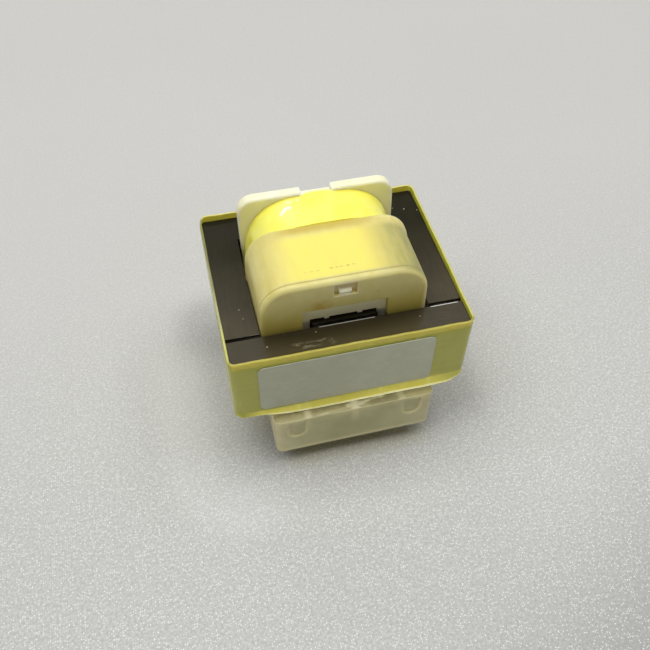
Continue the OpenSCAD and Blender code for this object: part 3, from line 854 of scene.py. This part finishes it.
# Painted shade: the block below the core is darker than the flange, most over its hollow middle.
shaded_hollow_wall = nylon.mix(clouded, (187, 183, 130), (203, 200, 150))
shaded_solid_ends = nylon.mix(clouded, (208, 198, 150), (222, 213, 168))
print("nylon for a flange at", round(FLANGE_FRONT, 2), "mm and a wall up to", round(WALL_TOP, 2), "mm")

# %% What shows in the block's wall
below = nz.fall(CORE_BOTTOM - 0.5, CORE_BOTTOM + 2.0)
on_wall = forward.ramp(WALL_Y - 0.2, WALL_Y)
brim = on_wall * bz.ramp(WALL_TOP - 0.07, WALL_TOP - 0.02)
ends = abs(bx).ramp(7.0, 11.2).most(bz.fall(FOOT_Z + 0.4, FOOT_Z + 1.3))
# Painted light: ribs behind the wall show through it pale, and the rim of each cup, the edges and the foot catch
# painted highlights, with a little glow near the top.
rib = (abs(bx + RIB_X).fall(0.1, 0.9) * 0.6).most(abs(bx).fall(0.2, 1.1) * 0.85)
rib = rib.most(abs(bx - RIB_X).fall(0.1, 0.9) * 0.35)
behind = rib * bz.ramp(WALL_TOP - 4.2, WALL_TOP - 0.6)
ring_x, ring_z = abs(bx) - PIN_X, (bz - RECESS_Z).least(0.0)
ring = abs((ring_x * ring_x + ring_z * ring_z) ** 0.5 - CUP_R - 0.1).fall(0.1, 0.4)
cup_highlight = ring * bz.span(RECESS_Z - 2.2, RECESS_Z - 1.7, RECESS_Z + 0.5, WALL_TOP - 0.6)
lip_line = bz.ramp(WALL_TOP - 0.28, WALL_TOP - 0.14) * forward.ramp(BLOCK_Y - 0.16, BLOCK_Y - 0.04)
side_line = (-1 * bx).span(11.95, 12.15, 12.2, 12.36) * forward.ramp(BLOCK_Y - 0.2, BLOCK_Y - 0.05)
foot_line = bz.span(FOOT_Z + 0.25, FOOT_Z + 0.45, FOOT_Z + 0.6, FOOT_Z + 0.9)
top_glow = bz.ramp(WALL_TOP - 2.0, WALL_TOP - 0.2) * swirl.ramp(0.30, 0.55, 0.15, 0.4)
painted_light_marks = (behind * 0.75).most(cup_highlight * 0.5).most(side_line * 0.6).most(foot_line * 0.4).most(top_glow)
wall = nylon.layers(shaded_hollow_wall, (ends, shaded_solid_ends), (painted_light_marks, (236, 228, 178)))
print("block painted with ribs at 0 and", RIB_X, "mm and cups at", PIN_X, "mm")


# %% The brim, the latch and the light in them
def streak_on_brim(x0, y0, x1, y1, wide):
    """A glare line along the top of the wall, from one point to another."""
    line = (bx - x0) * ((y1 - y0) / (x1 - x0)) + y0
    return abs(ny - line).fall(0.3 * wide, wide) * bx.span(x0, x0 + 0.6, x1 - 0.6, x1)


glare = streak_on_brim(0.8, -16.1, 5.2, -15.6, 0.28).most(streak_on_brim(-6.2, -16.8, -0.8, -16.5, 0.3) * 0.55)
glare = (glare * (0.3 + 0.6 * speckle)).most(streak_on_brim(-1.6, -16.3, 1.8, -16.2, 0.5) * 0.55)
# Painted shade and light on the brim: darker toward the rear, under the band's lip, and in a darker patch, with
# painted glare and ribs lit through the wall.
brim_tone = nylon.layers(
    nylon.mix(forward.ramp(15.7, 16.9), (140, 132, 92), (176, 168, 124)),
    (bx.span(1.5, 3.0, 6.4, 7.4) * 0.5, (112, 106, 78)),
    (speckle * 0.2, (214, 206, 164)),
    ((rib * 0.75).most(glare), (244, 238, 206)))
# Painted highlight: a pale line along the wall's front top edge.
block_tone = nylon.layers(wall, (brim, brim_tone), (lip_line * (1 - brim) * 0.45, (234, 226, 184)))
# Painted shade: inside the cover's window the flange is painted tan, all but the lit front of the latch.
latch = forward.ramp(FACE_Y + 0.05, FACE_Y + 0.15) * abs(nx + PLAY).fall(1.0, 1.2)
ramped = latch * nz.ramp(LATCH_Z + 0.9, LATCH_Z + 1.15)
in_window = nz.ramp(LATCH_Z - 1.2, LATCH_Z - 0.8) * (1 - latch * (1 - ramped))
in_window = in_window * forward.ramp(FACE_Y - 0.25, FACE_Y - 0.05)
former_tone = nylon.layers(ivory, (below, block_tone), (in_window * 0.9, (182, 163, 120)))
nylon.set(Base_Color=former_tone, Roughness=0.36 + 0.12 * pores,
          Subsurface_Weight=0.5, Subsurface_Radius=(1.0, 0.85, 0.5), Subsurface_Scale=0.002)
# Painted light: the rear flange's face, the front flange in the cut-out, the trough, the window, the brim's left end
# and the latch give off a little light, for light that comes through the nylon.
front_face = forward.ramp(FACE_Y - 0.07, FACE_Y - 0.03)
front_face = front_face * nz.span(CORE_TOP, CORE_TOP + 0.2, CORE_TOP + 3.2, CORE_TOP + 3.6)
lit_latch = latch * nz.span(LATCH_Z - 0.3, LATCH_Z, LATCH_Z + 0.85, LATCH_Z + 1.1)
lit_latch = lit_latch * nz.ramp(LATCH_Z + 0.3, LATCH_Z + 0.7, 0.35, 1.0)
in_trough = below * forward.ramp(TROUGH_Y - 0.2, TROUGH_Y) * (1 - on_wall)
in_trough = in_trough * nz.ramp(FOOT_Z + 1.0, FOOT_Z + 2.0)
flange_face = ny.span(FLANGE_FRONT - 0.2, FLANGE_FRONT - 0.1, FLANGE_FRONT + 0.05, FLANGE_FRONT + 0.3)
flange_face = flange_face * nz.ramp(CORE_TOP, CORE_TOP + 1.0)
nylon.shine(0.6, (flange_face, (76, 70, 42)), (front_face, (92, 86, 60)), (in_trough, (104, 97, 72)),
            (in_window, (112, 102, 70)), (brim * bx.fall(-8.0, -5.5), (84, 79, 56)),
            (lit_latch, (140, 136, 108)))
nylon.bump(pores * 0.5 + swirl * 0.5, 0.01, 0.5)
print("latch at", round(LATCH_Z, 2), "mm")


# %% Round and lean the former
def flange_rim(a, b):
    on_face = both_near(a, b, 1, FLANGE_FRONT) or both_near(a, b, 1, FLANGE_BACK)
    high = min(a[2], b[2]) > CORE_TOP - 3
    wide = max(abs(a[0]), abs(b[0])) > 11.6 or min(a[2], b[2]) > former_high[2] - 2.7
    return on_face and high and wide


def block_foot(a, b):
    outer = max(abs(a[0]), abs(b[0])) > 11.0 or near(abs(a[1]), BLOCK_Y, 0.05)
    at_foot = both_near(a, b, 2, FOOT_Z, 0.2) and min(abs(a[1]), abs(b[1])) > 8.6
    return at_foot and outer and not near(abs(a[0]), PIN_X, 0.8)


def block_brim(a, b):
    return both_near(a, b, 2, WALL_TOP, 0.2) and min(abs(a[1]), abs(b[1])) > 15.0


def recess_edge(a, b):
    beside_pin = min(abs(a[0]), abs(b[0])) > 7.0 and max(abs(a[0]), abs(b[0])) < 11.0
    level = max(a[2], b[2]) < WALL_TOP - 0.5 and min(a[2], b[2]) > RECESS_Z - 1.7
    return both_near(abs(a), abs(b), 1, BLOCK_Y) and beside_pin and level


def leaning(point):
    """The former's lean in its play, and recesses a little narrower than drawn."""
    px, py, pz = point
    if pz > CORE_BOTTOM:
        return px - PLAY, py, pz
    if abs(py) > 16.0 and abs(abs(px) - PIN_X) < 1.7 and pz > FOOT_Z + 1.0:
        middle = math.copysign(PIN_X, px)
        px = middle + (px - middle) * 0.87
        pz = RECESS_Z + (pz - RECESS_Z) * 0.87 if pz < RECESS_Z else pz
    return px * 1.006 + FOOT_PLAY, py, pz + FOOT_TILT * px


FORMER_EDGES = [(0.40, flange_rim), (0.15, block_foot), (0.14, block_brim), (0.16, recess_edge)]
settle(softened("coil_former", "bobbin", FORMER_EDGES, leaning), nylon, "bobbin_nylon", "bobbin")

# %% [markdown]
# ## The wrapped secondary
#
# Behind the cover the secondary bulges up between the flanges, wrapped in bright film. The winding is higher in
# the middle of its length than at the flanges, the film has a free end that makes a faint step, and a tab of it lies
# in the flange's notch. The outline is a superellipse, the same rule as in the CAD source, and each ring along the
# coil is drawn in a little at the ends.

# %% Wrap the coil
WRAP_START, WRAP_END = cover_high[1] + 0.02, coil_high[1]


def wrap_mesh(steps=240, rows=22, power=2 / 3.2):
    t = np.linspace(0, 2 * math.pi, steps, endpoint=False)
    half_x = coil_high[0]
    half_z = coil_high[2] - CORE_MID
    cx = np.sign(np.cos(t)) * np.abs(np.cos(t)) ** power
    cz = np.sign(np.sin(t)) * np.abs(np.sin(t)) ** power
    length = np.hypot(half_x * cx, half_z * cz)
    tab = np.where(cz > 0, np.exp(-(half_x * cx / 1.9) ** 4), 0)
    shift = PLAY * (1 - cx) / 2
    free_end = np.where((t > 1.75) & (t < 2.6), 0.05, 0.0)

    def ring(u, grown, pull=0.0):
        """Points round the coil at u from -1 to 1 along it, grown outward, with the tab pulled back."""
        scale = (length + grown) / length
        along = (WRAP_START + WRAP_END) / 2 + u * (WRAP_END - WRAP_START) / 2
        return np.stack([half_x * cx * scale - shift, along + 0.95 * tab * pull,
                         CORE_MID + half_z * cz * scale - 0.12 * tab * pull], 1)

    rings = []
    for u in np.linspace(-1, 1, rows):
        crown = -0.02 * abs(u) ** 6 - 0.07 * u * u
        ripple = 0.02 * np.sin(7 * t + 2.2 * u) * (1 - u * u) + 0.008 * np.sin(23 * t - 3 * u) - 0.03
        rings.append(ring(u, crown + ripple + free_end - 0.052, max(0, (u - 0.8) / 0.2) ** 2))
    rings += [ring(u, -0.45 - 0.24 * tab) for u in (1, -1)]
    return np.concatenate(rings), ring_faces(len(rings), steps, closed=True)


gloss = Finish("bright_coil_film")
gx, gy, gz = gloss.axes()
cloudy = gloss.noise(0.3, detail=3.0, seed=1.0)
creases = gloss.noise(0.9, detail=3.0, stretch=(1.0, 0.25, 1.0), seed=5.0)
# Painted shade: the film is a little darker low on its sides and a darker yellow where it meets the flange.
low_side = gz.fall(CORE_TOP + 1.0, CORE_TOP + 7.0)
at_flange = gy.ramp(WRAP_END - 0.75, WRAP_END - 0.1) * abs(gx).ramp(1.8, 3.2)
on_tab = gy.ramp(WRAP_END + 0.2, WRAP_END + 0.8)
sunny = gloss.mix(cloudy.ramp(0.3, 0.7), (253, 247, 88), (255, 252, 114))
wrap_tone = gloss.layers(sunny, (low_side * 0.12, (236, 226, 80)), (at_flange * 0.65, (222, 204, 44)),
                         (on_tab, (255, 250, 178)))
gloss.set(Base_Color=wrap_tone, Roughness=0.24 + 0.14 * cloudy, Coat_Weight=0.6, Coat_Roughness=0.05, IOR=1.55)
# Painted light: the lower left side and the film's front end under the cover's rim give off a little light.
gloss.shine(0.5, (low_side * (-1 * gx).ramp(8.0, 11.0), (120, 114, 36)),
            (gy.fall(WRAP_START, WRAP_START + 0.1), (170, 160, 70)))
gloss.bump(creases * 0.6 + cloudy * 0.4, 0.06, 0.5)
settle(mesh_piece("wrapped_secondary", *wrap_mesh(), smooth_deg=60), gloss, "coil_tape", "secondary_tape")
print("secondary wrapped")

# %% [markdown]
# ## The clip-on cover
#
# The cover is the same nylon in a thin wall, so the yellow wrap under it shows through its top as a soft glow that
# fades toward the edges, and the inside of its front wall draws a dark line just behind the front edge. Those are
# painted from the position on the cover, since the light that makes them comes from inside the wall. The front wall
# is painted darker low down and lighter high up, as light and shade, and the right wall, the rear bead and the
# window's edge carry painted light. Heat and varnish have left a few brown marks.

# %% The cover's finish
front_y, rear_y, top_z = cover_low[1], cover_high[1], cover_high[2] - 0.2
COVER_HALF, ARCH_R = cover_high[0] - 0.2, 4.5
WINDOW_X, WINDOW_Z, WINDOW_RISE = 1.65, CORE_TOP + 6.5, 1.2
STAINS = ((-3.7, 28.5, 2.1, 0.7), (-5.8, 28.3, 0.4, 0.8), (4.5, 29.5, 0.35, 0.6))
DOTS = ((-5.2, -7.5, 0.15), (-4.4, -7.5, 0.25), (-3.5, -7.5, 0.2), (-1.6, -7.4, 0.5), (-0.8, -7.4, 0.35),
        (-0.2, -7.4, 0.3), (0.75, -7.4, 0.5), (1.5, -7.35, 0.3))

cap = Finish("thin_nylon_cover")
cx, cy, cz = cap.axes()
from_front, from_rear = cy - front_y, rear_y - cy
haze = cap.noise(0.2, detail=3.0, seed=3.0)
skin = cap.noise(2.2, detail=2.0, seed=9.0)
smear = cap.noise(0.7, detail=3.0, stretch=(1.0, 0.22, 1.0), seed=14.0)
on_top = cz.ramp(top_z - 2.6, top_z - 0.4)
height = cz.ramp(CORE_TOP - 0.5, top_z - 1.0)
front_wall = from_front.fall(0.05, 0.6)
left_end, right_end = (-1 * cx).ramp(6.0, 10.5), cx.ramp(2.8, 9.8)
right_wall = cx.ramp(10.8, 12.0) * (1 - on_top)
glow_through = on_top * from_front.ramp(0.9, 1.7) * from_rear.ramp(0.6, 2.6) * (0.65 + 0.6 * smear)
glow_through = glow_through * (1 - 0.88 * left_end) * (1 - 0.85 * right_end)
# Painted shade: the right end of the top is dark olive in streaks, where the dark inside shows through.
right_end_shade = right_end * (1 - 0.8 * cx.ramp(11.0, 12.0)) * (1 - front_wall) * from_rear.ramp(0.8, 2.4)
tan = from_rear.fall(0.5, 1.8) * on_top * (1 - right_end) * (-1 * cx).fall(5.5, 9.0)
# Painted highlight: a pale line on the rear bead at the right.
bead_highlight = from_rear.fall(0.45, 0.75) * cx.ramp(6.5, 8.5)
# Painted shade: a dark line just behind the front edge, where the front wall's inside shows through.
inner_wall_shade = from_front.span(0.80, 0.90, 0.98, 1.12) * cz.ramp(CORE_TOP + 2, CORE_TOP + 5)
off_window = (abs(cx + PLAY) - WINDOW_X).most(abs(cz - WINDOW_Z) - WINDOW_RISE)
cream = cap.mix((haze * 0.5 + smear * 0.5).ramp(0.35, 0.65), (218, 204, 122), (232, 221, 148))
# Painted light and shade: the front wall darker low down and lighter high up, the right wall lighter, less glow at
# the left end, a darker yellow rear rim where the wrap shows through, and a pale painted rim round the window.
marked = cap.layers(
    cream,
    (front_wall * (1 - 0.8 * height), (213, 196, 100)),
    (right_wall.most(front_wall * height * 0.5), (244, 234, 172)),
    (glow_through, (252, 233, 114)),
    (right_end_shade * smear.ramp(0.28, 0.66, 0.55, 0.95), (156, 154, 90)),
    (left_end * on_top * 0.45, (204, 190, 108)),
    (tan * 0.85, (202, 177, 60)),
    (bead_highlight * 0.6, (238, 227, 164)),
    (inner_wall_shade * 0.55, (140, 118, 64)),
    (front_wall * off_window.fall(0.08, 0.3) * 0.6, (244, 230, 194)))
blotched = front_wall * (smear + haze).ramp(0.8, 1.1, 0.25, 1.0)
for mark_x, mark_z, wide, depth in STAINS:
    stain = cap.spot(cx - mark_x, (cz - mark_z) * 2.4 ** 0.5, 0.1 * wide * wide, wide * wide)
    marked = cap.mix(blotched * stain * depth, marked, (206, 160, 36))
for dot_x, dot_y, dark in DOTS:
    dot = cap.spot((cx - dot_x) * 0.5, cy - dot_y, 0.002, 0.03)
    marked = cap.mix(on_top * dot * dark, marked, (150, 124, 52))
cap.set(Base_Color=marked, Roughness=0.34 + 0.12 * skin, Subsurface_Weight=0.6, Subsurface_Radius=(1.0, 0.85, 0.4),
        Subsurface_Scale=0.002)
# Painted light: the right wall gives off a little light, for light that comes through the nylon.
cap.shine(0.3, (cx.ramp(11.2, 12.0) * (1 - on_top), (72, 70, 48)))
cap.bump(skin * 0.4 + haze * 0.6, 0.012, 0.5)
print("cover with", len(STAINS), "stains and", len(DOTS), "dots")


# %% The cover's edges
def off_arch(x, z):
    """How far a point lies outside the cover's arched outline, in mm."""
    dx, dz = abs(x) - (COVER_HALF - ARCH_R), z - (top_z - ARCH_R)
    return (math.hypot(dx, dz) if dx > 0 and dz > 0 else max(dx, dz)) - ARCH_R


def toward_foot(z):
    """0 on the cover's arch and 1 at its open bottom."""
    return float(step(-z, -30.5, -25.0))


def draft(z):
    """A moulded cover widens toward its open bottom."""
    return 1 + 0.029 * toward_foot(z)


def cover_lean(z):
    """How far the cover sits to the left, less toward its foot, which the core holds."""
    return PLAY - 0.137 * toward_foot(z)


def ease_cover(point):
    """Widens the cover by its draft, slopes the rim at its open end and lowers the top of its window."""
    px, py, pz = point
    if near(py, rear_y - 0.8, 0.02):
        py = rear_y - 0.5 if off_arch(px, pz) > 0.1 else rear_y - 1.6
    if abs(px) < WINDOW_X + 0.05 and py < front_y + 1.2 and near(pz, WINDOW_Z + WINDOW_RISE, 0.1):
        pz = pz - 0.2
    return px * draft(pz) - cover_lean(pz), py, pz


def outside(point):
    """How far a point that has been eased lies outside the arch."""
    return off_arch((point[0] + cover_lean(point[2])) / draft(point[2]), point[2])


def cover_front(a, b):
    return both_near(a, b, 1, front_y) and abs(outside(a)) < 0.05 and abs(outside(b)) < 0.05


def cover_window(a, b):
    return both_near(a, b, 1, front_y) and max(outside(a), outside(b)) < -0.4


def cover_rim(a, b):
    return both_near(a, b, 1, rear_y) and min(outside(a), outside(b)) > 0.1


COVER_EDGES = [(0.70, cover_front), (0.09, cover_window), (0.18, cover_rim)]
cover = softened("clip_cover", "primary_cover", COVER_EDGES, ease_cover, (-WINDOW_X, WINDOW_X))
settle(cover, cap, "cover_nylon", "primary_cover")

# %% [markdown]
# ## Copper, tin and the hidden wrap
#
# The windings, the wires to the pins and the pins themselves are right as CAD solids. They keep their form and get
# a finish: enamelled copper is a warm metal under a clear coat, and tin is pale and slightly dull.

# %% Finishes for the kept nodes
copper = Finish("enamelled_copper")
turns = copper.noise(4.0, detail=2.0, stretch=(0.2, 1.0, 0.2))
copper.set(Base_Color=copper.mix(turns, (150, 78, 38), (196, 116, 62)), Metallic=0.85,
           Roughness=0.26 + 0.14 * turns, Coat_Weight=0.6)
copper.bump(turns, 0.02, 0.6)

tin = Finish("tinned_pin")
dull = tin.noise(3.0, detail=3.0, stretch=(1, 1, 0.3))
tin.set(Base_Color=tin.mix(dull, (186, 186, 182), (222, 222, 218)), Metallic=1.0, Roughness=0.22 + 0.2 * dull)
tin.bump(dull, 0.008, 0.5)

kept = {"primary_tape": gloss}
for coil in ("primary", "secondary"):
    kept.update({f"{coil}_{wire}": copper for wire in ("winding", "start_lead", "finish_lead")})
    kept.update({f"{coil}_{pin}": tin for pin in ("pin_left", "pin_right")})
for name, finish in kept.items():
    nodes[name].data.materials.clear()
    nodes[name].data.materials.append(finish.material)
print(len(kept), "kept nodes have their finishes")
